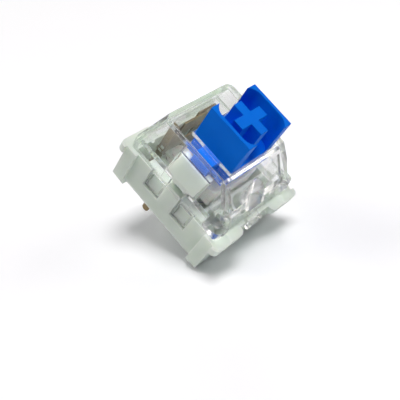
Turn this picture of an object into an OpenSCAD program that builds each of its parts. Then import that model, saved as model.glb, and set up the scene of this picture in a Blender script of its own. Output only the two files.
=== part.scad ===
// Clicky plate-mount keyboard switch: a sprung slider in a snap-together two-part housing.
// Origin: centre of the housing on the board's plane. +Z up the slider, +Y towards the contacts.

/* [Lower housing] */
// Width of the body that drops into the plate cut-out
body_w = 13.95; // [13.85:0.05:14]
// Height of the flange's underside above the board
plate_z = 5; // [4.9:0.1:5.2]
// Thickness of the plate flange
flange_t = 1; // [0.9:0.1:1.1]
// Width across the two flanged sides
flange_w = 15.6; // [15.4:0.1:15.8]
// Length of the flanged sides
flange_l = 14.6; // [14.4:0.1:15]
// Half length of the gap in the middle of each flanged side
flange_gap = 2.5; // [2.3:0.1:2.7]
// Corner radius of the flange
flange_r = 0.7; // [0.5:0.1:0.8]
// Wall thickness
wall = 0.9; // [0.8:0.05:1]
// Floor thickness
floor_t = 1; // [0.9:0.05:1.1]
// Height of the bevel round the bottom edge
lead_h = 1.1; // [0.9:0.1:1.3]
// How far that bevel cuts in at the bottom
lead_in = 0.7; // [0.5:0.1:0.9]
// Depth of the recess between the corner blocks on the latch sides
recess_d = 0.38; // [0.3:0.02:0.44]
// Height of the bevel under the recessed faces between the corner blocks
recess_lead_h = 1.5; // [1.3:0.1:1.7]
// Width of a corner block
block_w = 1.5; // [1.4:0.1:1.6]
// Radius of the dish in the flange under each front corner foot
dish_r = 1.5; // [1.3:0.1:1.7]

/* [Slider guides] */
// Width of the slanted head of each guide tower
tower_w = 4; // [3.8:0.1:4.2]
// Width of the tower's neck between the two latch pockets
neck_w = 2; // [1.8:0.1:2.2]
// Height of the tower's top edge
tower_z = 9.6; // [9.4:0.1:9.7]
// Height at which the tower's outer face starts to slant
slant_z = 8; // [7.8:0.1:8.1]
// Height of the sill in the tower's neck
sill_z = 6.4; // [6.3:0.1:6.6]
// Depth of that sill
sill_d = 0.7; // [0.6:0.05:0.75]
// Width of the small window above the sill
window_w = 1.15; // [1:0.05:1.3]
// Height of that window
window_h = 1; // [0.8:0.1:1.1]
// Radius of the bore that guides the slider's pole
pole_bore_r = 1.45; // [1.4:0.01:1.5]

/* [Centre post] */
// Radius of the locating post under the housing
post_r = 2; // [1.9:0.05:2]
// Length of the post below the board
post_l = 3.3; // [3.1:0.1:3.5]
// Bevel at the post's tip
post_bevel = 0.4; // [0.3:0.05:0.5]

/* [Light hole] */
// Distance of the light hole from the centre
led_y = 5.08; // [5:0.02:5.1]
// Radius of the light hole
led_r = 1.5; // [1.4:0.05:1.5]
// Wall of the tube round the light hole
led_wall = 0.4; // [0.35:0.05:0.5]
// Distance of the cover's lens from the centre
lens_y = 5.5; // [5.4:0.1:5.6]
// Radius of that lens
lens_r = 1.45; // [1.3:0.05:1.5]
// Height of the lens's lower face
lens_z = 6.9; // [6.8:0.1:7.1]
// Distance from the centre to the ribs beside the lens
lens_rib_x = 4.1; // [4:0.1:4.3]
// Thickness of the ribs beside the lens
lens_rib_t = 0.4; // [0.3:0.05:0.45]
// Thickness of the web beside the tube
web_t = 0.4; // [0.3:0.05:0.5]

/* [Upper housing] */
// Height of the housing's top face above the board
top_z = 11.6; // [11.5:0.1:11.7]
// Thickness of the top face
roof_t = 0.85; // [0.8:0.05:0.9]
// Wall thickness of the cover
cover_t = 0.7; // [0.6:0.05:0.75]
// Width of the cover's upright skirt across the latch sides
skirt_w = 12.9; // [12.8:0.1:13]
// Front face of the skirt, measured from the centre
skirt_front = 6.7; // [6.6:0.1:6.8]
// Back face of the skirt, measured from the centre
skirt_back = 6.95; // [6.85:0.05:6.95]
// Height of the skirt's upper edge
skirt_z = 7.4; // [7.2:0.1:7.6]
// Width of the top face across the latch sides
crown_w = 10.4; // [10.2:0.1:10.6]
// Front edge of the top face
crown_front = 3.1; // [3.05:0.05:3.3]
// Back edge of the top face
crown_back = 5.8; // [5.7:0.1:6]
// How much is cut off the front corners at the skirt
front_cut = 0.8; // [0.7:0.05:0.9]
// How far that cut leans in on the way to the top face
front_lean = 2.3; // [2.2:0.1:2.4]
// Radius of the back corners at the top face
back_r = 0.9; // [0.7:0.1:1]
// Radius of the round post in each front corner
foot_r = 1.1; // [1:0.05:1.1]
// How far the posts reach below the skirt
foot_drop = 0.6; // [0.4:0.1:0.6]
// Place of the tab in the flange's front gap
tab_x = -0.6; // [-0.8:0.1:0]
// Width of that tab
tab_w = 2; // [1.8:0.1:2.2]
// Thickness of that tab
tab_t = 0.5; // [0.45:0.05:0.6]

/* [Latches] */
// Distance from the centre to the near side of a latch leg
leg_y = 1.1; // [1.1:0.05:1.2]
// Width of a latch leg
leg_w = 2.15; // [2.05:0.05:2.2]
// Thickness of a latch leg
leg_t = 0.5; // [0.45:0.05:0.55]
// Height of the pocket floor that the legs reach down to
ledge_z = 3.3; // [3.2:0.1:3.4]
// Height of the bar under a leg's window
leg_bar = 0.35; // [0.3:0.05:0.4]
// Width of the catch inside a leg
catch_w = 1.55; // [1.45:0.05:1.6]
// Height of the catch
catch_h = 1.9; // [1.7:0.1:2]

/* [Slider] */
// Height of the cross's top above the board
stem_z = 15.2; // [15:0.1:15.3]
// How far the walls round the cross stand above it
wall_rise = 0.3; // [0.1:0.1:0.4]
// Width of the slider's head across the latch sides
head_w = 7.3; // [7.2:0.05:7.35]
// Depth of the slider's head, front to back
head_d = 5.6; // [5.5:0.05:5.7]
// Thickness of the walls round the cross
head_wall = 0.55; // [0.5:0.05:0.6]
// Draft of those walls, over their height
head_draft = 0.15; // [0.1:0.05:0.2]
// Radius inside the ends of those walls
head_r = 1.4; // [1.2:0.1:1.5]
// Radius of the head's outer corners
head_edge_r = 0.25; // [0.2:0.05:0.3]
// Width of the slider's body under the cover
shell_w = 6; // [5.9:0.1:6.2]
// Width of the lips that stop the slider under the cover
lip_w = 5.2; // [5:0.1:5.4]
// Length of each arm of the cross, end to end
cross_l = 4.1; // [4:0.05:4.15]
// Thickness of the arm that runs across the latch sides
cross_tx = 1.25; // [1.2:0.05:1.35]
// Thickness of the arm that runs front to back
cross_ty = 1.15; // [1.1:0.05:1.2]
// Downward travel of the slider
travel = 4; // [3.6:0.1:4]
// Radius of the slider's pole
pole_r = 1.38; // [1.36:0.01:1.39]
// Width of the rib that runs in each guide
rib_w = 2.3; // [2.2:0.05:2.4]
// Reach of the ribs from the centre
rib_x = 4.55; // [4.5:0.05:4.6]

/* [Click sleeve] */
// Height of the sleeve
sleeve_h = 2; // [1.8:0.1:2]
// Play of the sleeve on the slider
click_play = 1; // [0.8:0.05:1]
// Radius of the sleeve's bore
sleeve_r = 2.4; // [2.35:0.05:2.5]
// Width of each ramp that works the contact
ramp_w = 0.9; // [0.7:0.1:1]

/* [Spring] */
// Radius of the spring to the middle of the wire
coil_r = 2; // [1.98:0.01:2.05]
// Diameter of the spring wire
wire_d = 0.26; // [0.22:0.01:0.28]
// Number of turns
turns = 11; // [9:1:12]

/* [Contacts] */
// Sheet thickness of the contacts
sheet = 0.2; // [0.15:0.01:0.22]
// Length of the pins below the board
pin_l = 3.3; // [3:0.1:3.5]
// Width of the pins
pin_w = 0.9; // [0.8:0.05:1]
// Height of the sprung leaf's top edge
leaf_z = 10.35; // [10.2:0.05:10.4]
// Distance of the sprung leaf from the centre
leaf_y = 4.35; // [4.32:0.01:4.4]
// Height of the slot in the sprung leaf
leaf_slot = 1.6; // [1.4:0.1:1.7]
// Height at which the sprung leaf's strip is folded from its foot
fold_z = 3.6; // [3.4:0.1:3.8]
// How far the fixed blade ends below the sprung leaf's top
blade_drop = 1.1; // [1:0.1:1.2]
// Height of the fixed blade's side arm
blade_arm = 1.9; // [1.7:0.1:2]
// Length of the welded contact bars
bar_l = 1; // [0.8:0.1:1.2]
// Radius of the welded contact bars
bar_r = 0.18; // [0.15:0.01:0.2]

/* [Fits] */
// Clearance between the slider and what guides it
slide_gap = 0.1; // [0.08:0.01:0.12]
// Clearance between snapped-together parts
snap_gap = 0.08; // [0.05:0.01:0.1]
// Clearance at the ends of a travel
stop_gap = 0.06; // [0.05:0.01:0.08]

/* [Hidden] */
$fn = 48;
eps = 0.01;

// Lower housing
body_h = body_w / 2;
base_z = plate_z + flange_t;
latch_x = body_h - recess_d;
bay_x = latch_x - wall;
bay_y = body_h - wall;
block_y = body_h - block_w;
recess_in = lead_in * recess_lead_h / lead_h;

// Latches: the legs hang in pockets, and the catches stand in the legs' windows
leg_x = latch_x - 0.15;
pocket_x = leg_x - leg_t - snap_gap;
guide_x = pocket_x - wall;
pocket_y0 = leg_y - snap_gap;
pocket_y1 = leg_y + leg_w + snap_gap;
leg_z = ledge_z + snap_gap;
catch_y = leg_y + leg_w / 2;
catch_z = leg_z + leg_bar;

// Slider guides
groove_x = rib_x + 0.3;
rail_x = head_w / 2 + 0.2;
tower_top_x = groove_x + 0.35;
tower_gap = 0.25;
flare_h = 0.4;

// Upper housing
roof_z = top_z - roof_t;
eave_x = skirt_w / 2 - 0.5;
eave_z = skirt_z + 0.8;
eave_share = (eave_z - skirt_z) / (top_z - skirt_z);
eave_y = skirt_back - (skirt_back - crown_back) * eave_share;
foot_x = eave_x - 0.6;
foot_y = foot_x + 0.1;
skirt_r = 0.5;
channel_d = 0.4;

// Slider
deck_z = roof_z - stop_gap;
well_z = deck_z + 0.6;
head_z = stem_z + wall_rise;
seat_z = deck_z - 0.6;
skirt_w_in = head_w - 0.3;
skirt_d = head_d - 0.2;
spring_bay_r = coil_r + wire_d / 2 + 0.17;
lip_d = head_d + 0.6;
sleeve_z = floor_t + travel + 0.55;
arm_z = sleeve_z - 0.35;
shell_z = sleeve_z + sleeve_h + click_play + stop_gap;
arm_in = skirt_w_in / 2 - 0.55;
arm_w = 1.6;
pole_z = floor_t + 0.6;
collar_z = pole_z + 0.6;
bore_z = pole_z - travel - 0.1;
collar_r = coil_r - wire_d / 2 - 0.15;

// Contacts: pin places follow the usual 1.27 grid
pin_tip = 0.3;
shoulder_z = floor_t + 0.05;
pitch = 1.27;
fixed_x = 2 * pitch;
fixed_y = 4 * pitch;
moving_x = -3 * pitch;
moving_y = 2 * pitch;

// A bar with its section drawn in X and Z, centred on Y
module along_y(w) { rotate([90, 0, 0]) linear_extrude(w, center = true) children(); }
// A bar with its section drawn in Y and Z, centred on X
module along_x(w) { rotate([90, 0, 90]) linear_extrude(w, center = true) children(); }
// The same piece on both latch sides
module both_sides() { for (s = [0, 1]) mirror([s, 0, 0]) children(); }
// The same piece on the front and the back
module front_and_back() { for (s = [0, 1]) mirror([0, s, 0]) children(); }
// A box given by its low and high corners
module span(lo, hi) { translate(lo) cube(hi - lo); }
// A rectangle with round corners
module round_rect(w, d, r) {
  square([w - 2 * r, d], center = true);
  square([w, d - 2 * r], center = true);
  for (x = [-1, 1], y = [-1, 1]) translate([x * (w / 2 - r), y * (d / 2 - r)]) circle(r);
}
// A half profile in X, mirrored to both sides of the Z axis
function mirrored(pts) = concat(pts, [for (i = [len(pts) - 1:-1:0]) [-pts[i][0], pts[i][1]]]);

// ---- Lower housing ----

module body_block() {
  profile = mirrored([[body_h - lead_in, 0], [body_h, lead_h], [body_h, base_z]]);
  intersection() {
    along_y(2 * body_h) polygon(profile);
    along_x(2 * body_h) polygon(profile);
  }
}

module flange_ears() {
  ear_l = flange_l / 2 - flange_gap;
  ear_d = flange_w / 2 - body_h + 2 * flange_r;
  both_sides() front_and_back()
    translate([flange_gap + ear_l / 2, flange_w / 2 - ear_d / 2, plate_z])
      linear_extrude(flange_t) difference() {
        round_rect(ear_l, ear_d, flange_r);
        translate([0, -ear_d / 2 + flange_r - 0.05]) square([ear_l + 1, 2 * flange_r], center = true);
      }
}

module latch_recess() {
  both_sides() along_y(2 * block_y)
    polygon([[latch_x - recess_in, -eps], [latch_x, recess_lead_h],
             [latch_x, base_z + eps], [body_h + 1, base_z + eps], [body_h + 1, -eps]]);
}

module latch_pockets() {
  both_sides() front_and_back()
    span([pocket_x, pocket_y0, ledge_z], [body_h + 1, pocket_y1, base_z + eps]);
}

module catches() {
  both_sides() for (s = [-1, 1]) translate([0, s * catch_y, 0]) along_y(catch_w)
    polygon([[pocket_x - eps, catch_z], [leg_x - 0.05, catch_z], [pocket_x + 0.1, catch_z + catch_h],
             [pocket_x - eps, catch_z + catch_h]]);
}

module guide_tower() {
  face = [[groove_x, floor_t - eps], [bay_x, floor_t - eps], [latch_x, ledge_z], [latch_x - 0.1, slant_z],
          [tower_top_x, tower_z], [groove_x, tower_z]];
  rail = [[rail_x, floor_t - eps], [groove_x + eps, floor_t - eps], [groove_x + eps, tower_z],
          [rail_x + 0.3, tower_z], [rail_x, tower_z - 0.3]];
  both_sides() difference() {
    union() {
      intersection() {
        along_y(tower_w) polygon(face);
        along_x(4 * body_h) polygon(mirrored([[neck_w / 2, 0], [neck_w / 2, slant_z - flare_h],
                                              [tower_w / 2, slant_z], [tower_w / 2, tower_z]]));
      }
      front_and_back() translate([0, (tower_w + rib_w) / 4 + slide_gap / 2, 0])
        along_y((tower_w - rib_w) / 2 - slide_gap) polygon(rail);
    }
    span([latch_x - sill_d, -neck_w, sill_z], [body_h, neck_w, sill_z + window_h]);
    span([0, -window_w / 2, sill_z], [body_h, window_w / 2, sill_z + window_h]);
  }
}

module light_tube() {
  web_y = -lip_d / 2 - 0.15;
  intersection() {
    translate([0, -led_y, floor_t - eps]) cylinder(r = led_r + led_wall, h = base_z - floor_t);
    span([-led_y, -body_h + 0.1, 0], [led_y, web_y, base_z]);
  }
  span([-guide_x - eps, web_y - web_t, floor_t - eps], [guide_x + eps, web_y, base_z]);
}

module contact_holders() {
  holder_h = 1.6;
  translate([fixed_x, fixed_y, floor_t + holder_h / 2 - eps])
    cube([pin_w + 2, sheet + 1, holder_h], center = true);
  translate([moving_x, fixed_y - 0.6, floor_t + holder_h / 2 - eps])
    cube([sheet + 1, 1, holder_h], center = true);
}

module plate_slots() {
  slot = sheet + 2 * snap_gap;
  deep = post_l + base_z;
  translate([fixed_x, fixed_y, 0]) cube([pin_w + 2 * snap_gap, slot, 2 * floor_t + 1], center = true);
  translate([fixed_x, fixed_y, floor_t + deep / 2]) cube([pin_w + 3, slot, deep], center = true);
  translate([moving_x, moving_y, 0]) cube([slot, pin_w + 2 * snap_gap, 2 * floor_t + 1], center = true);
  translate([moving_x, fixed_y - 0.6, floor_t + deep / 2]) cube([slot, 2, deep], center = true);
}

module centre_post() {
  translate([0, 0, -post_l]) cylinder(r1 = post_r - post_bevel, r2 = post_r, h = post_bevel);
  translate([0, 0, post_bevel - post_l]) cylinder(r = post_r, h = post_l - post_bevel + eps);
  cylinder(r = collar_r, h = collar_z);
}

module bottom_housing() {
  color("#bcc4b8") difference() {
    union() {
      difference() {
        union() {
          body_block();
          flange_ears();
        }
        latch_recess();
        span([-bay_x, -bay_y, floor_t], [bay_x, bay_y, base_z + 1]);
      }
      both_sides() span([guide_x, -pocket_y1 - wall, floor_t - eps], [bay_x + eps, pocket_y1 + wall, base_z]);
      guide_tower();
      light_tube();
      contact_holders();
      centre_post();
    }
    difference() {
      latch_pockets();
      guide_tower();
      catches();
    }
    translate([0, 0, bore_z]) cylinder(r = pole_bore_r, h = collar_z - bore_z + 1);
    translate([0, -led_y, -1]) cylinder(r = led_r, h = base_z + 2);
    plate_slots();
    both_sides() {
      translate([foot_x, -foot_y, base_z - foot_drop - snap_gap]) cylinder(r = foot_r + snap_gap, h = 2);
      translate([foot_x + 0.5, -body_h, base_z + 0.9]) sphere(dish_r);
    }
  }
}

// ---- Upper housing ----

// The cover's outer form with sharp corners, or its inner form where inset is a wall and roof a ceiling
module cover_block(inset, roof, foot) {
  side = mirrored([[skirt_w / 2 - inset, foot], [skirt_w / 2 - inset, skirt_z],
                   [eave_x - inset, eave_z], [crown_w / 2 - inset, top_z]]);
  length = [[inset - skirt_front, foot], [inset - skirt_front, skirt_z], [inset - crown_front, top_z],
            [crown_back - inset, top_z], [skirt_back - inset, skirt_z], [skirt_back - inset, foot]];
  intersection() {
    along_y(4 * body_h) polygon(side);
    along_x(4 * body_h) polygon(length);
    translate([0, 0, roof - top_z]) cube([4 * body_h, 4 * body_h, 2 * top_z], center = true);
  }
}

// The same form with its front corners cut off and its back corners rounded by three faces each
module cover_form(inset, roof, foot) {
  front = (skirt_w / 2 + skirt_front) * cos(45) - front_cut - inset;
  difference() {
    cover_block(inset, roof, foot);
    corner_cut(-45, [front, front - front_lean * eave_share, front - front_lean], foot);
    for (a = [22.5, 45, 67.5])
      corner_cut(a, [round_face(skirt_w / 2, skirt_back, skirt_r, a) - inset,
                     round_face(eave_x, eave_y, skirt_r, a) - inset,
                     round_face(crown_w / 2, crown_back, back_r, a) - inset], foot);
  }
}

// Distance from the centre to the face that touches a round corner at an angle
function round_face(x, y, r, angle) = (x - r) * cos(angle) + (y - r) * sin(angle) + r;

// All that lies beyond a corner's face, on both sides: its distances at the skirt, the eave and the top
module corner_cut(angle, reach, foot) {
  far = 3 * body_h;
  both_sides() rotate([0, 0, angle]) along_y(4 * body_h)
    polygon([[reach[0], foot - eps], [reach[0], skirt_z], [reach[1], eave_z], [reach[2], top_z],
             [reach[2], top_z + eps], [far, top_z + eps], [far, foot - eps]]);
}

module latch_leg() {
  difference() {
    span([leg_x - leg_t, leg_y, leg_z], [leg_x, leg_y + leg_w, skirt_z - 0.05]);
    translate([leg_x, catch_y, catch_z + catch_h / 2])
      cube([3, catch_w + 2 * snap_gap, catch_h + 2 * snap_gap], center = true);
  }
}

module tower_opening() {
  notch_w = tower_w + 2 * tower_gap;
  both_sides() {
    span([rail_x - 0.5, -notch_w / 2, base_z - 1], [body_h, notch_w / 2, tower_z + 0.2]);
    along_y(notch_w)
      polygon([[eave_x - channel_d, eave_z], [body_h, eave_z], [body_h, top_z - 0.4],
               [crown_w / 2 + 0.1 - channel_d, top_z - 0.4]]);
  }
}

module top_housing() {
  color("#dfe5e2", 0.45) difference() {
    union() {
      difference() {
        cover_form(0, top_z, base_z);
        cover_form(cover_t, roof_z, base_z - eps);
        tower_opening();
      }
      both_sides() front_and_back() latch_leg();
      corner_posts();
      front_tab();
      light_lens();
    }
    translate([0, 0, top_z])
      cube([head_w + 2 * slide_gap, head_d + 2 * slide_gap, 4 * roof_t], center = true);
  }
}

// Round posts in the front corners, which stand in the lower housing
module corner_posts() {
  intersection() {
    both_sides() translate([foot_x, -foot_y, base_z - foot_drop])
      cylinder(r = foot_r, h = eave_z - base_z + foot_drop);
    cover_block(0, top_z, base_z - foot_drop - eps);
  }
}

module front_tab() {
  tab_in = body_h + snap_gap;
  root_y = skirt_front - cover_t / 2;
  root_z = base_z + tab_t;
  translate([tab_x, 0, 0]) intersection() {
    along_x(tab_w) polygon([[-tab_in, plate_z], [-tab_in - tab_t, plate_z], [-tab_in - tab_t, root_z],
                            [-root_y, root_z], [-root_y, base_z], [-tab_in, base_z]]);
    translate([0, -body_h, base_z]) along_y(2 * wall + 2) round_rect(tab_w, 2, tab_t);
  }
}

// A round lens and thin ribs that hang from the front slope, over the light hole
module light_lens() {
  back_y = lip_d / 2 + 0.35;
  intersection() {
    union() {
      translate([0, -lens_y, lens_z]) cylinder(r = lens_r, h = top_z - lens_z);
      span([-lens_rib_x - eps, -lens_y - lens_rib_t / 2, lens_z],
           [lens_rib_x + eps, -lens_y + lens_rib_t / 2, top_z]);
      both_sides() span([lens_rib_x, -lens_y - lens_rib_t / 2, lens_z],
                        [lens_rib_x + lens_rib_t, -back_y, top_z]);
    }
    cover_form(cover_t / 2, roof_z, lens_z);
  }
}

// ---- Slider ----

module head_section() {
  difference() {
    round_rect(head_w, head_d, head_edge_r);
    round_rect(head_w - 2 * head_wall, head_d + 0.2, head_r);
  }
}

module cross() {
  square([cross_l, cross_tx], center = true);
  square([cross_ty, cross_l], center = true);
}

module stem() {
  color("#0a62d8") {
    translate([0, 0, well_z - eps]) linear_extrude(stem_z - well_z + eps) cross();
    intersection() {
      translate([0, 0, well_z - eps]) linear_extrude(head_z - well_z + eps) head_section();
      along_y(2 * head_d) polygon(mirrored([[head_w / 2, 0], [head_w / 2, well_z],
                                            [head_w / 2 - head_draft, head_z]]));
    }
    translate([0, 0, deck_z - eps]) linear_extrude(well_z - deck_z + eps)
      round_rect(head_w, head_d, head_edge_r);
    translate([0, 0, seat_z]) linear_extrude(deck_z - seat_z) {
      square([lip_w, lip_d], center = true);
      square([shell_w, skirt_d], center = true);
    }
    difference() {
      translate([0, 0, shell_z]) linear_extrude(seat_z - shell_z + eps)
        square([shell_w, skirt_d], center = true);
      translate([0, 0, shell_z - eps]) cylinder(r = spring_bay_r, h = seat_z - shell_z + eps);
    }
    translate([0, 0, pole_z]) cylinder(r = pole_r, h = seat_z - pole_z + eps);
    both_sides() {
      span([skirt_w_in / 2 - eps, -rib_w / 2, arm_z + 1], [rib_x, rib_w / 2, shell_z + eps]);
      span([shell_w / 2 - eps, -rib_w / 2, shell_z], [rib_x, rib_w / 2, deck_z]);
      span([arm_in, -arm_w / 2, arm_z], [skirt_w_in / 2, arm_w / 2, shell_z + eps]);
      span([sleeve_r, -arm_w / 2, arm_z], [arm_in + eps, arm_w / 2, arm_z + 0.3]);
    }
  }
}

// ---- Click sleeve ----

module click_sleeve() {
  sleeve_w = skirt_w_in - 0.1;
  sleeve_d = 2 * sleeve_r + 1;
  color("#f0f0ea") translate([0, 0, sleeve_z]) difference() {
    union() {
      linear_extrude(sleeve_h) round_rect(sleeve_w, sleeve_d, 0.5);
      for (x = [-1, 1]) translate([x * 1.9, 0, 0]) along_y_ramp(sleeve_d / 2);
    }
    translate([0, 0, -eps]) cylinder(r = sleeve_r, h = sleeve_h + 1);
    both_sides() span([arm_in - slide_gap, -arm_w / 2 - slide_gap, -eps],
                      [sleeve_w, arm_w / 2 + slide_gap, sleeve_h + 1]);
  }
}

// A ramp that stands out towards the leaf, widest near its foot
module along_y_ramp(y0) {
  reach = leaf_y - sheet / 2 - 0.12;
  along_x(ramp_w) polygon([[y0 - 0.3, 0], [reach - 0.4, 0], [reach, 0.4], [reach, 0.7], [y0, sleeve_h - 0.1],
                           [y0 - 0.3, sleeve_h - 0.1]]);
}

// ---- Spring ----

// Height of the wire at a fraction of its length: the end turns lie close together
function coil_rise(u) =
  let (n = u * turns, h = seat_z - floor_t - wire_d, close = wire_d * 1.15, last = turns - 1)
  n < 1 ? n * close : n > last ? h - (turns - n) * close
  : close + (n - 1) / (turns - 2) * (h - 2 * close);

module return_spring() {
  rings = turns * 22;
  sides = 8;
  pts = [for (i = [0:rings]) let (u = i / rings, a = 360 * turns * u)
         for (k = [0:sides - 1]) let (b = 360 * k / sides, r = coil_r + wire_d / 2 * cos(b))
         [r * cos(a), r * sin(a), floor_t + wire_d / 2 + coil_rise(u) + wire_d / 2 * sin(b)]];
  skin = [for (i = [0:rings - 1], k = [0:sides - 1]) let (n = (k + 1) % sides)
          [i * sides + k, i * sides + n, (i + 1) * sides + n, (i + 1) * sides + k]];
  ends = [[for (k = [sides - 1:-1:0]) k], [for (k = [0:sides - 1]) rings * sides + k]];
  color("#b9bdc0") polyhedron(pts, concat(skin, ends), convexity = 20);
}

// ---- Contacts ----

module fixed_contact() {
  blade_z = leaf_z - blade_drop;
  blade_x = pin_w / 2 + 0.7;
  arm_x = pin_w / 2 + 1.6;
  color("#b08d57") translate([fixed_x, fixed_y, 0]) along_y(sheet)
    polygon([[-pin_w / 4, -pin_l], [pin_w / 4, -pin_l], [pin_w / 2, pin_tip - pin_l], [pin_w / 2, shoulder_z],
             [blade_x, shoulder_z], [blade_x, blade_z - 0.4], [blade_x - 0.4, blade_z], [-arm_x, blade_z],
             [-arm_x, blade_z - blade_arm], [-blade_x, blade_z - blade_arm - arm_x + blade_x],
             [-blade_x, shoulder_z], [-pin_w / 2, shoulder_z], [-pin_w / 2, pin_tip - pin_l]]);
}

module moving_contact() {
  strip_y = leaf_y + 0.75;
  face_y = leaf_y - sheet / 2;
  strip_z = leaf_z - 0.3;
  leaf_foot = leaf_z - 4.3;
  leaf_step = leaf_z - 1.2;
  leaf_l = 3;
  color("#c2924a") {
    translate([moving_x, 0, 0]) along_x(sheet) difference() {
      polygon([[moving_y - pin_w / 4, -pin_l], [moving_y + pin_w / 4, -pin_l],
               [moving_y + pin_w / 2, pin_tip - pin_l], [moving_y + pin_w / 2, shoulder_z],
               [strip_y, shoulder_z], [strip_y, strip_z], [face_y, strip_z], [face_y, fold_z + 0.8],
               [face_y - 0.8, fold_z], [moving_y - pin_w / 2, fold_z],
               [moving_y - pin_w / 2, pin_tip - pin_l]]);
      translate([leaf_y + 0.25, leaf_z - 3.6]) square(0.6, center = true);
    }
    translate([0, leaf_y, 0]) along_y(sheet) difference() {
      polygon([[moving_x, leaf_foot], [leaf_l, leaf_foot], [leaf_l, leaf_step], [0.9, leaf_step], [0.4, leaf_z],
               [-3.1, leaf_z], [-3.3, leaf_step], [moving_x, leaf_step]]);
      translate([-0.4, leaf_step - leaf_slot]) square([2.4, leaf_slot], center = true);
    }
  }
}

// A half-round bar welded to a contact face; side is the way the round faces along Y
module contact_bar(face_y, side, upright) {
  translate([fixed_x - 1.1, face_y, leaf_z - 2.7]) intersection() {
    rotate([0, upright ? 0 : 90, 0]) cylinder(r = bar_r, h = bar_l, center = true, $fn = 24);
    translate([0, side * bar_l, 0]) cube(2 * bar_l, center = true);
  }
}

module fixed_contact_bar() { color("#d9b44a") contact_bar(fixed_y - sheet / 2, -1, true); }
module moving_contact_bar() { color("#d9b44a") contact_bar(leaf_y + sheet / 2, 1, false); }

bottom_housing();
top_housing();
stem();
click_sleeve();
return_spring();
fixed_contact();
moving_contact();
fixed_contact_bar();
moving_contact_bar();
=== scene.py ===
import math

import bpy
import numpy as np
from mathutils import Matrix, Vector


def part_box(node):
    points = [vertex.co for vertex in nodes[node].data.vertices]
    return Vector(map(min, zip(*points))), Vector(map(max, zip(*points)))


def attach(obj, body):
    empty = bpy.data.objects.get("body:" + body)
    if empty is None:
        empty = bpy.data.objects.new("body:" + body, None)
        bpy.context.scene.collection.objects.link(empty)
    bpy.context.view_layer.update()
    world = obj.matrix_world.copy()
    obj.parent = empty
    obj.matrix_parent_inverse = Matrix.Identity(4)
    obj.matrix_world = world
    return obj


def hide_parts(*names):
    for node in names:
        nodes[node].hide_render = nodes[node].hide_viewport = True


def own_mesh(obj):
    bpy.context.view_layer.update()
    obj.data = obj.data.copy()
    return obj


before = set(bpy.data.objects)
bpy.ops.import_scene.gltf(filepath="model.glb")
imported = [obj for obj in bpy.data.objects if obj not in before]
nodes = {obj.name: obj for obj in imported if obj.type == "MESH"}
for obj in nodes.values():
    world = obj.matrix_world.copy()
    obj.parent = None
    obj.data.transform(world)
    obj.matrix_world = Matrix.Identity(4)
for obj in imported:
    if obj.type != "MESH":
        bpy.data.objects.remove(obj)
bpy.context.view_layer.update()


# ---- Lower housing ----
# The body that drops into the plate: unfilled nylon, injection moulded, milky and a little green,
# so light sinks about a millimetre into its walls. The contacts are pushed up through its floor.

MM = 0.001


def rgb(hex_colour):
    """The linear colour of an sRGB hex value. The sRGB curve is straight up to 0.04045."""
    c = np.array([int(hex_colour[i:i + 2], 16) for i in (1, 3, 5)]) / 255
    return (*np.where(c <= 0.04045, c / 12.92, ((c + 0.055) / 1.055) ** 2.4), 1.0)


def add(tree, kind, inputs=None, **options):
    """Adds one shader node. An input is given by its value, or by the output that feeds it."""
    made = tree.nodes.new("ShaderNode" + kind)
    for name, value in options.items():
        setattr(made, name, value)
    for name, value in (inputs or {}).items():
        if isinstance(value, bpy.types.NodeSocket):
            tree.links.new(value, made.inputs[name])
        else:
            made.inputs[name].default_value = value
    return made


def finish_of(name):
    """An empty material with its node tree."""
    finish = bpy.data.materials.new(name)
    finish.use_nodes = True
    finish.node_tree.nodes.clear()
    return finish, finish.node_tree


def noise_of(tree, size, detail=2.0):
    """A noise between 0 and 1 whose grains have that size, fixed to the piece."""
    place = add(tree, "TexCoord").outputs["Object"]
    noise = add(tree, "TexNoise", {"Vector": place, "Scale": 1 / size, "Detail": detail})
    return noise.outputs["Fac"]


def spread(tree, value, low, high, start=0.0, end=1.0):
    """The value carried from start..end to low..high, and held at those two."""
    return add(tree, "MapRange", {"Value": value, "From Min": start, "From Max": end,
                                  "To Min": low, "To Max": high}).outputs["Result"]


def blend(tree, factor, first, second):
    """A colour from the first to the second as the factor goes from 0 to 1."""
    mixed = add(tree, "Mix", {"Factor": factor, "A": first, "B": second}, data_type="RGBA")
    return mixed.outputs["Result"]


def rounded(tree, radius, samples=4):
    """The normal of a surface whose edges are rounded to that radius."""
    return add(tree, "Bevel", {"Radius": radius}, samples=samples).outputs["Normal"]


def flatness(tree, edge):
    """The dot product of a rounded normal with the true one: 1 on a flat face and about 0.7 at a
    square edge."""
    face = add(tree, "NewGeometry").outputs["Normal"]
    return add(tree, "VectorMath", {0: edge, 1: face}, operation="DOT_PRODUCT").outputs["Value"]


def relief_of(tree, height, depth, strength, over=None):
    """The normal of a fine relief, laid over another normal or over the true one."""
    inputs = {"Height": height, "Distance": depth, "Strength": strength}
    if over is not None:
        inputs["Normal"] = over
    return add(tree, "Bump", inputs).outputs["Normal"]


def mix(tree, factor, first, second):
    """A shader that turns from the first to the second as the factor goes from 0 to 1."""
    return add(tree, "MixShader", {0: factor, 1: first, 2: second}).outputs["Shader"]


milky_nylon, tree = finish_of("milky_moulded_nylon")
cloud = noise_of(tree, 2.5 * MM, detail=3.0)
grain = noise_of(tree, 0.12 * MM)
edge = rounded(tree, 0.09 * MM)
tint = blend(tree, cloud, rgb("#E3EEE5"), rgb("#D8E4DA"))
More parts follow.
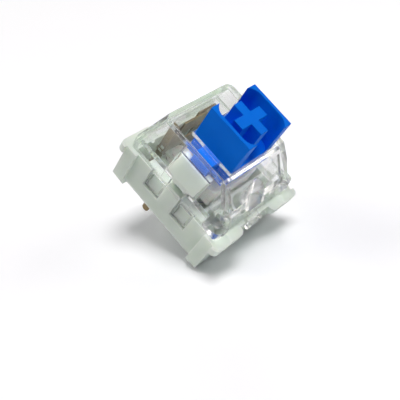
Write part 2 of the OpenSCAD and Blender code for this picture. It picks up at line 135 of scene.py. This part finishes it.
# The walls are milky, and their edges are painted whiter: a painted highlight along every edge.
painted_edge_highlight = spread(tree, flatness(tree, edge), 1, 0, start=0.75, end=0.98)
tint = blend(tree, painted_edge_highlight, tint, rgb("#FDFFFC"))
skin = add(tree, "BsdfPrincipled", {
    "Base Color": tint, "Roughness": spread(tree, grain, 0.30, 0.44),
    "Normal": relief_of(tree, grain, depth=0.01 * MM, strength=0.25, over=edge),
    "IOR": 1.53, "Specular IOR Level": 0.3,
    "Subsurface Weight": 0.8, "Subsurface Scale": 1.5 * MM, "Subsurface Radius": (1.0, 1.0, 0.85)})
add(tree, "OutputMaterial", {"Surface": skin.outputs["BSDF"]})
nodes["bottom_housing"].material_slots[0].material = milky_nylon


# ---- Upper housing ----
# The cover, moulded in clear polycarbonate with polished faces. It lets the contacts, the guides
# and the light tube show, and its latch legs snap over catches on the lower housing.

clear_polycarbonate, tree = finish_of("polished_clear_polycarbonate")
flow = noise_of(tree, 1.8 * MM)
edge = rounded(tree, 0.1 * MM, samples=12)
# The flat faces are clear, and the edges are painted white: a painted highlight along every edge
# in place of the glints that edges catch.
clear = spread(tree, flatness(tree, edge), 0, 1, start=0.74, end=0.90)
glass = add(tree, "BsdfPrincipled", {
    "Base Color": rgb("#FFFFFF"), "Transmission Weight": clear,
    "Roughness": spread(tree, flow, 0, 0.02),
    "Normal": relief_of(tree, flow, depth=0.02 * MM, strength=0.03, over=edge),
    "IOR": 1.58, "Specular IOR Level": 0.2})
# Lamp light goes straight through the cover, and so does a tenth of the rays that look into it.
passing = add(tree, "BsdfTransparent", {"Color": rgb("#F4F6F6")})
to_lamp = add(tree, "LightPath").outputs["Is Shadow Ray"]
straight = add(tree, "Math", {0: to_lamp, 1: 0.1}, operation="MAXIMUM").outputs[0]
cover = mix(tree, straight, glass.outputs["BSDF"], passing.outputs["BSDF"])
add(tree, "OutputMaterial", {"Surface": cover})
nodes["top_housing"].material_slots[0].material = clear_polycarbonate


# ---- Slider ----
# The part that the keycap presses on: blue acetal, moulded with a satin face. Its open box shields
# the cross from dust, and its pole runs in the lower housing's bore.

blue_acetal, tree = finish_of("satin_blue_acetal")
grain = noise_of(tree, 0.1 * MM)
tint = blend(tree, noise_of(tree, 3 * MM), rgb("#007CF8"), rgb("#0070EC"))
edge = rounded(tree, 0.12 * MM)
skin = add(tree, "BsdfPrincipled", {
    "Base Color": tint, "Roughness": spread(tree, grain, 0.34, 0.48),
    "Normal": relief_of(tree, grain, depth=0.008 * MM, strength=0.25, over=edge),
    "IOR": 1.48, "Specular IOR Level": 0.05})
add(tree, "OutputMaterial", {"Surface": skin.outputs["BSDF"]})
nodes["stem"].material_slots[0].material = blue_acetal


# ---- Click sleeve ----
# The loose collar whose ramps work the sprung contact: natural white acetal, moulded and slightly
# waxy. It is trapped between the slider's arms and drops a millimetre with a click.

white_acetal, tree = finish_of("natural_white_acetal")
grain = noise_of(tree, 0.12 * MM)
tint = blend(tree, grain, rgb("#F1F1EA"), rgb("#E8E8E0"))
skin = add(tree, "BsdfPrincipled", {
    "Base Color": tint, "Roughness": spread(tree, grain, 0.32, 0.45), "IOR": 1.48,
    "Subsurface Weight": 0.3, "Subsurface Scale": 0.6 * MM})
add(tree, "OutputMaterial", {"Surface": skin.outputs["BSDF"]})
nodes["click_sleeve"].material_slots[0].material = white_acetal


# ---- Contacts ----
# Two blades stamped from phosphor bronze strip, each with a pin for the board. The strip's rolling
# lines run up and down the blades. A short gold alloy bar is welded across each where they touch.

bronze_sheet, tree = finish_of("rolled_bronze_strip")
place = add(tree, "TexCoord").outputs["Object"]
# Twelve times as fine across the blades as along them.
drawn_out = add(tree, "Mapping", {"Vector": place, "Scale": (12, 12, 1)}).outputs["Vector"]
noise = add(tree, "TexNoise", {"Vector": drawn_out, "Scale": 1 / (1.2 * MM), "Detail": 3.0})
lines = noise.outputs["Fac"]
tint = blend(tree, lines, rgb("#8C7B5C"), rgb("#78694C"))
skin = add(tree, "BsdfPrincipled", {
    "Base Color": tint, "Roughness": spread(tree, lines, 0.28, 0.34),
    "Normal": relief_of(tree, lines, depth=0.002 * MM, strength=0.2), "Metallic": 1.0})
add(tree, "OutputMaterial", {"Surface": skin.outputs["BSDF"]})
for name in ("fixed_contact", "moving_contact"):
    nodes[name].material_slots[0].material = bronze_sheet

gold_alloy, tree = finish_of("drawn_gold_alloy")
satin = spread(tree, noise_of(tree, 0.15 * MM), 0.15, 0.25)
skin = add(tree, "BsdfPrincipled", {
    "Base Color": rgb("#E6C477"), "Roughness": satin, "Metallic": 1.0})
add(tree, "OutputMaterial", {"Surface": skin.outputs["BSDF"]})
for name in ("fixed_contact_bar", "moving_contact_bar"):
    nodes[name].material_slots[0].material = gold_alloy


# ---- Return spring ----
# Round stainless music wire, wound on a mandrel with a closed turn at each end. It stands on the
# lower housing's collar and presses up under the slider.

spring_steel, tree = finish_of("drawn_spring_steel")
satin = spread(tree, noise_of(tree, 0.2 * MM), 0.18, 0.3)
skin = add(tree, "BsdfPrincipled", {
    "Base Color": rgb("#C4C8CC"), "Roughness": satin, "Metallic": 1.0})
add(tree, "OutputMaterial", {"Surface": skin.outputs["BSDF"]})

low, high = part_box("return_spring")
wire_r = 0.13 * MM
coil_r = high.x - wire_r
turns, steps_per_turn = 11, 64
turn = np.linspace(0, turns, steps_per_turn * turns + 1)
# The height climbs by one wire and a little in the first and last turn, and evenly between them.
close = 2.3 * wire_r
rise = high.z - low.z - 2 * wire_r
open_rise = (rise - 2 * close) / (turns - 2)
closed = np.clip(turn, 0, 1) + np.clip(turn - turns + 1, 0, 1)
climb = closed * close + np.clip(turn - 1, 0, turns - 2) * open_rise


def wire(name, path, radius, sides=12):
    """A round tube with flat ends. Around each point of the path its ring is
    radius (cos(a) out + sin(a) across): out points away from Z, square to the path, and across is
    along x out."""
    along = np.gradient(path, axis=0)
    along /= np.linalg.norm(along, axis=1, keepdims=True)
    out = path * (1, 1, 0)
    out -= along * np.sum(out * along, axis=1, keepdims=True)
    out /= np.linalg.norm(out, axis=1, keepdims=True)
    across = np.cross(along, out)
    angle = np.linspace(0, 2 * np.pi, sides, endpoint=False)[None, :, None]
    ring = np.cos(angle) * out[:, None] + np.sin(angle) * across[:, None]
    points = path[:, None] + radius * ring
    i, k = np.meshgrid(np.arange(len(path) - 1), np.arange(sides), indexing="ij")
    n = (k + 1) % sides
    quads = np.stack([i * sides + k, (i + 1) * sides + k, (i + 1) * sides + n, i * sides + n], -1)
    last = (len(path) - 1) * sides
    caps = [list(range(sides)), [last + s for s in reversed(range(sides))]]
    mesh = bpy.data.meshes.new(name)
    mesh.from_pydata(points.reshape(-1, 3).tolist(), [], quads.reshape(-1, 4).tolist() + caps)
    mesh.shade_smooth()
    piece = bpy.data.objects.new(name, mesh)
    bpy.context.scene.collection.objects.link(piece)
    return piece


angle = 2 * np.pi * turn
path = np.stack([coil_r * np.cos(angle), coil_r * np.sin(angle), low.z + wire_r + climb], -1)
spring = wire("wound_return_spring", path, wire_r)
spring.data.materials.append(spring_steel)
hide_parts("return_spring")
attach(spring, "housing")
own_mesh(spring)


# ---- Floor, lamps and camera ----
# The switch lies tipped on the front edge of its base and the tip of its post, on a white table
# under soft studio lamps. The table is a hair's breadth clear of it, and can't be seen from below.

front_edge = Vector((0, -6.275, 0)) * MM
post_tip = Vector((0, -1.6, -3.3)) * MM
table_up = Vector((1, 0, 0)).cross(post_tip - front_edge).normalized()
table_x = Vector((1, 0, 0))
table_y = table_up.cross(table_x)
half = 400 * MM
gap = 0.02 * MM
middle = front_edge - table_up * gap
corners = [middle + half * (u * table_x + v * table_y)
           for u, v in ((-1, -1), (1, -1), (1, 1), (-1, 1))]
mesh = bpy.data.meshes.new("table")
mesh.from_pydata(corners, [], [(0, 1, 2, 3)])
table = bpy.data.objects.new("table", mesh)
bpy.context.scene.collection.objects.link(table)

# The table lights the object as a white table does. Rays from the camera, mirrors and glass see it
# a little brighter, so that it is white. For the camera it turns into plain white further out.
white_table, tree = finish_of("white_table")
plain = add(tree, "BsdfDiffuse", {"Color": rgb("#E8EAEC")})
bright = add(tree, "BsdfDiffuse", {"Color": (1.13, 1.15, 1.21, 1.0)})
white = add(tree, "Emission", {"Color": rgb("#FFFFFF"), "Strength": 1.0})
rays = add(tree, "LightPath").outputs
seen = add(tree, "Math", {0: rays["Is Camera Ray"], 1: rays["Is Glossy Ray"]}, operation="ADD")
seen = add(tree, "Math", {0: seen.outputs[0], 1: rays["Is Transmission Ray"]},
           operation="ADD", use_clamp=True).outputs[0]
top = mix(tree, seen, plain.outputs["BSDF"], bright.outputs["BSDF"])
turns_white, all_white = 60 * MM, 150 * MM
place = add(tree, "TexCoord").outputs["Object"]
reach = add(tree, "VectorMath", {0: place}, operation="LENGTH").outputs["Value"]
beyond = spread(tree, reach, 0, 1, start=turns_white, end=all_white)
beyond = add(tree, "Math", {0: beyond, 1: rays["Is Camera Ray"]}, operation="MULTIPLY").outputs[0]
top = mix(tree, beyond, top, white.outputs["Emission"])
under = add(tree, "BsdfTransparent").outputs["BSDF"]
from_below = add(tree, "NewGeometry").outputs["Backfacing"]
add(tree, "OutputMaterial", {"Surface": mix(tree, from_below, top, under)})
mesh.materials.append(white_table)

# Each kind of ray sees the surroundings at its own strength, and other rays get a dim blue room.
world = bpy.data.worlds.new("white_studio")
bpy.context.scene.world = world
world.use_nodes = True
tree = world.node_tree
tree.nodes.clear()
rays = add(tree, "LightPath").outputs
around = add(tree, "Background", {"Color": rgb("#A8C4FF"), "Strength": 0.03}).outputs["Background"]
for kind, colour, strength in (
        ("Is Glossy Ray", "#E6ECF2", 0.34),
        ("Is Transmission Ray", "#FFFFFF", 0.5),
        ("Is Camera Ray", "#FFFFFF", 1.0)):
    shown = add(tree, "Background", {"Color": rgb(colour), "Strength": strength})
    around = mix(tree, rays[kind], around, shown.outputs["Background"])
add(tree, "OutputWorld", {"Surface": around})

camera_place = Vector((-50.6, -14.0, 61.7)) * MM
camera_aim = Vector((-2.37, -1.68, 3.67)) * MM
camera_roll = math.radians(38.04)
camera = bpy.data.objects.new("camera", bpy.data.cameras.new("camera"))
bpy.context.scene.collection.objects.link(camera)
level = (camera_aim - camera_place).to_track_quat("-Z", "Y").to_matrix()
rolled = level @ Matrix.Rotation(camera_roll, 3, "Z")
camera.matrix_world = Matrix.LocRotScale(camera_place, rolled.to_quaternion(), None)
camera.data.sensor_width = 36
camera.data.lens = 63
camera.data.clip_start = 1 * MM
bpy.context.scene.camera = camera
bpy.context.scene.view_settings.view_transform = "Standard"

# A lamp stands towards its aim, which is given as right, away from the camera and up on the table.
# Its energy is share x pi^2 x distance^2, so that a white surface facing it comes out near that
# share of white.
right = rolled.col[0]
right = (right - table_up * right.dot(table_up)).normalized()
away = table_up.cross(right)
distance = 400 * MM
for name, aim, size, share, colour in (
        ("left_lamp", (-0.85, 0.0, 0.6), 220, 0.27, "#FFF8F0"),
        ("right_lamp", (0.85, 0.2, 0.6), 220, 0.20, "#FFF8F0"),
        ("back_lamp", (0.0, 1.0, 0.6), 200, 0.14, "#FFF8F0"),
        ("top_lamp", (0.12, -0.12, 1.0), 210, 0.66, "#FFFCF8")):
    lamp = bpy.data.lights.new(name, "AREA")
    lamp.shape = "DISK"
    lamp.size = size * MM
    lamp.color = rgb(colour)[:3]
    lamp.energy = share * math.pi ** 2 * distance ** 2
    toward = (aim[0] * right + aim[1] * away + aim[2] * table_up).normalized()
    held = bpy.data.objects.new(name, lamp)
    bpy.context.scene.collection.objects.link(held)
    turned = (-toward).to_track_quat("-Z", "Y")
    held.matrix_world = Matrix.LocRotScale(toward * distance, turned, None)
